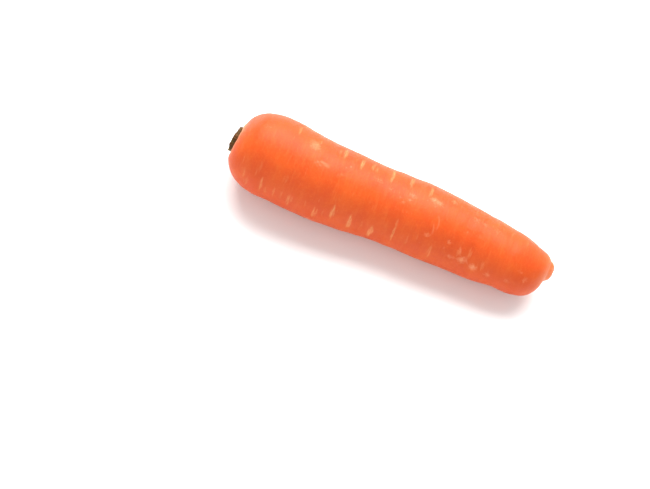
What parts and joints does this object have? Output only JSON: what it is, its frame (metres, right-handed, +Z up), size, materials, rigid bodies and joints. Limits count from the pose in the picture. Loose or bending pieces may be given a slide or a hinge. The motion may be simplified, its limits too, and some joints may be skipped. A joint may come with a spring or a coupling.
{
  "type": "carrot",
  "caption": "Whole carrot root lying on its side, tapering to a blunt tip, with cut leaf stalk stubs set in a shallow dish at the crown.",
  "frame": {"origin": "middle of the bottom of the carrot's bounding box, on the surface it lies on", "axes": "+X along the root from the crown to the tip, +Z up, +Y to the carrot's left side when looking from crown to tip"},
  "size_m": [0.1902, 0.0472, 0.0455],
  "materials": {
    "carrot_skin": "washed carrot skin, orange with a soft waxy sheen and short pale cross marks",
    "withered_stalk": "dry brown leaf stalk bases with fibrous sides and paler cut faces",
    "young_stalk": "khaki leaf stalk bases, fibrous, cut across",
    "bud_green": "small olive green bud, matte"
  },
  "bodies": {
    "root": {"taproot": "carrot_skin", "leaf_stalk_stub_1": "withered_stalk", "leaf_stalk_stub_2": "withered_stalk", "leaf_stalk_stub_3": "withered_stalk", "leaf_stalk_stub_4": "withered_stalk", "leaf_stalk_stub_5": "withered_stalk", "leaf_stalk_stub_6": "young_stalk", "leaf_stalk_stub_7": "young_stalk", "leaf_stalk_stub_8": "young_stalk", "crown_bud": "bud_green"}
  },
  "joints": []
}
